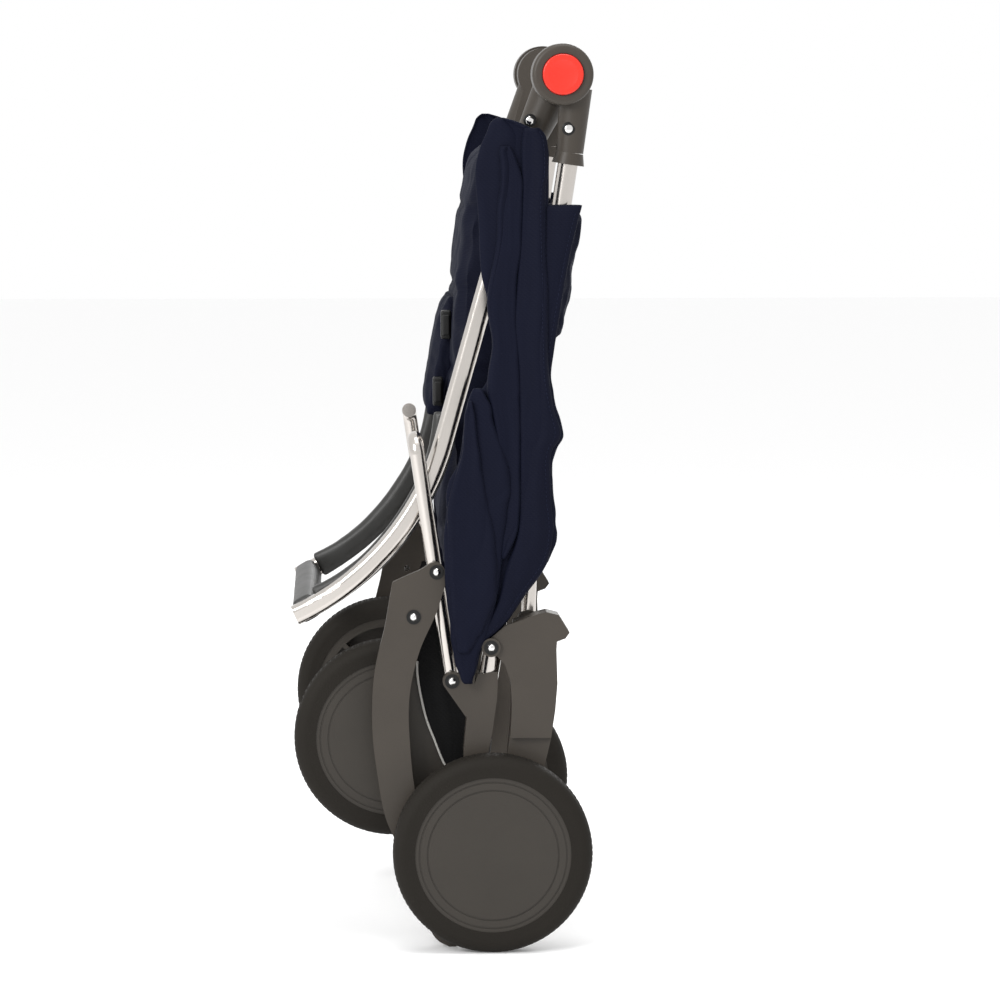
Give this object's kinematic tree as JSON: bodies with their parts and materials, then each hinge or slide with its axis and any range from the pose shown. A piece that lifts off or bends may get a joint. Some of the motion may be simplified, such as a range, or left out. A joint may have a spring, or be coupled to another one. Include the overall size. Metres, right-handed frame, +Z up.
{
  "type": "folded baby stroller",
  "caption": "Folded baby stroller that stands upright on its rear wheels, with fold-down handle, seat hoop, swinging footrest and folded fabric seat.",
  "frame": {"origin": "centre of the bounding box's bottom face, on the floor", "axes": "+X towards the rear, where the rear legs open; +Y to the far side; +Z up"},
  "size_m": [0.2877, 0.5, 0.863],
  "materials": {
    "polished_aluminium": "polished",
    "taupe_plastic": "satin",
    "steel": "polished",
    "black_plastic": "matte",
    "red_plastic": "satin",
    "grip_leather": "satin",
    "tyre": "matte",
    "wheel_plastic": "satin",
    "navy_fabric": "matte",
    "black_fabric": "matte"
  },
  "bodies": {
    "main_frame": {"main_tube_near": "polished_aluminium", "main_tube_far": "polished_aluminium", "foot_casting_near": "taupe_plastic", "foot_casting_far": "taupe_plastic", "hinge_housing_near": "taupe_plastic", "hinge_housing_far": "taupe_plastic", "hinge_bolt_near": "steel", "hinge_bolt_far": "steel", "rear_pivot_bolt_near": "steel", "rear_pivot_bolt_far": "steel", "front_wheel_bracket_near": "taupe_plastic", "front_wheel_bracket_far": "taupe_plastic", "front_axle_pin_near": "steel", "front_axle_pin_far": "steel", "side_panel_near": "navy_fabric", "side_panel_far": "navy_fabric", "basket_side_near": "black_fabric", "basket_side_far": "black_fabric", "front_cross_tube": "polished_aluminium", "upper_cross_tube": "polished_aluminium", "seat_bundle": "navy_fabric", "canopy_fold": "navy_fabric", "harness_pad": "navy_fabric", "frame_pins": "steel", "frame_washers": "black_plastic"},
    "rear_legs": {"rear_leg_casting_near": "taupe_plastic", "rear_leg_casting_far": "taupe_plastic", "rear_leg_tube_near": "polished_aluminium", "rear_leg_tube_far": "polished_aluminium", "rear_axle_pin_near": "steel", "rear_axle_pin_far": "steel", "rear_axle_tube": "polished_aluminium", "rear_leg_pins": "steel", "rear_leg_washers": "black_plastic"},
    "handle": {"arm_housing_near": "taupe_plastic", "arm_housing_far": "taupe_plastic", "handle_arm_near": "polished_aluminium", "handle_arm_far": "polished_aluminium", "grip_pad_near": "grip_leather", "grip_pad_far": "grip_leather", "grip_bar": "grip_leather"},
    "seat_hoop": {"hoop_tube_near": "polished_aluminium", "hoop_tube_far": "polished_aluminium"},
    "footrest": {"leg_plate_near": "taupe_plastic", "leg_plate_far": "taupe_plastic", "foot_bar": "taupe_plastic", "leg_plate_pins": "steel", "leg_plate_washers": "black_plastic"},
    "button_near": {"release_button_near": "red_plastic"},
    "rear_wheel_near": {"rear_tyre_near": "tyre", "rear_wheel_disc_near": "wheel_plastic"},
    "front_wheel_near": {"front_tyre_near": "tyre", "front_wheel_disc_near": "wheel_plastic"},
    "button_far": {"release_button_far": "red_plastic"},
    "rear_wheel_far": {"rear_tyre_far": "tyre", "rear_wheel_disc_far": "wheel_plastic"},
    "front_wheel_far": {"front_tyre_far": "tyre", "front_wheel_disc_far": "wheel_plastic"}
  },
  "joints": [
    {"name": "rear_leg_fold", "type": "hinge", "parent": "main_frame", "child": "rear_legs", "pos_m": [0.09162, 0, 0.56], "axis": [0, -1, 0], "range_deg": [0, 60]},
    {"name": "handle_fold", "type": "hinge", "parent": "main_frame", "child": "handle", "pos_m": [0.11483, 0, 0.834], "axis": [0, 1, 0], "range_deg": [0, 190]},
    {"name": "hoop_fold", "type": "hinge", "parent": "main_frame", "child": "seat_hoop", "pos_m": [0.01033, 0, 0.257], "axis": [0, -1, 0], "range_deg": [0, 70]},
    {"name": "footrest_fold", "type": "hinge", "parent": "seat_hoop", "child": "footrest", "pos_m": [-0.00427, 0, 0.362], "axis": [0, 1, 0], "range_deg": [0, 140]},
    {"name": "button_press_near", "type": "slide", "parent": "main_frame", "child": "button_near", "axis": [0, 1, 0], "range_m": [0, 0.004], "stiffness_N_per_m": 400},
    {"name": "rear_wheel_spin_near", "type": "hinge", "parent": "rear_legs", "child": "rear_wheel_near", "pos_m": [0.04833, -0.232, 0.095], "axis": [0, 1, 0], "continuous": true},
    {"name": "front_wheel_spin_near", "type": "hinge", "parent": "main_frame", "child": "front_wheel_near", "pos_m": [-0.04567, -0.167, 0.198], "axis": [0, 1, 0], "continuous": true},
    {"name": "button_press_far", "type": "slide", "parent": "main_frame", "child": "button_far", "axis": [0, -1, 0], "range_m": [0, 0.004], "stiffness_N_per_m": 400},
    {"name": "rear_wheel_spin_far", "type": "hinge", "parent": "rear_legs", "child": "rear_wheel_far", "pos_m": [0.04833, 0.232, 0.095], "axis": [0, 1, 0], "continuous": true},
    {"name": "front_wheel_spin_far", "type": "hinge", "parent": "main_frame", "child": "front_wheel_far", "pos_m": [-0.04567, 0.167, 0.198], "axis": [0, 1, 0], "continuous": true}
  ],
  "couplings": [
    {"joint": "footrest_fold", "follows": "hoop_fold", "ratio": 2}
  ]
}
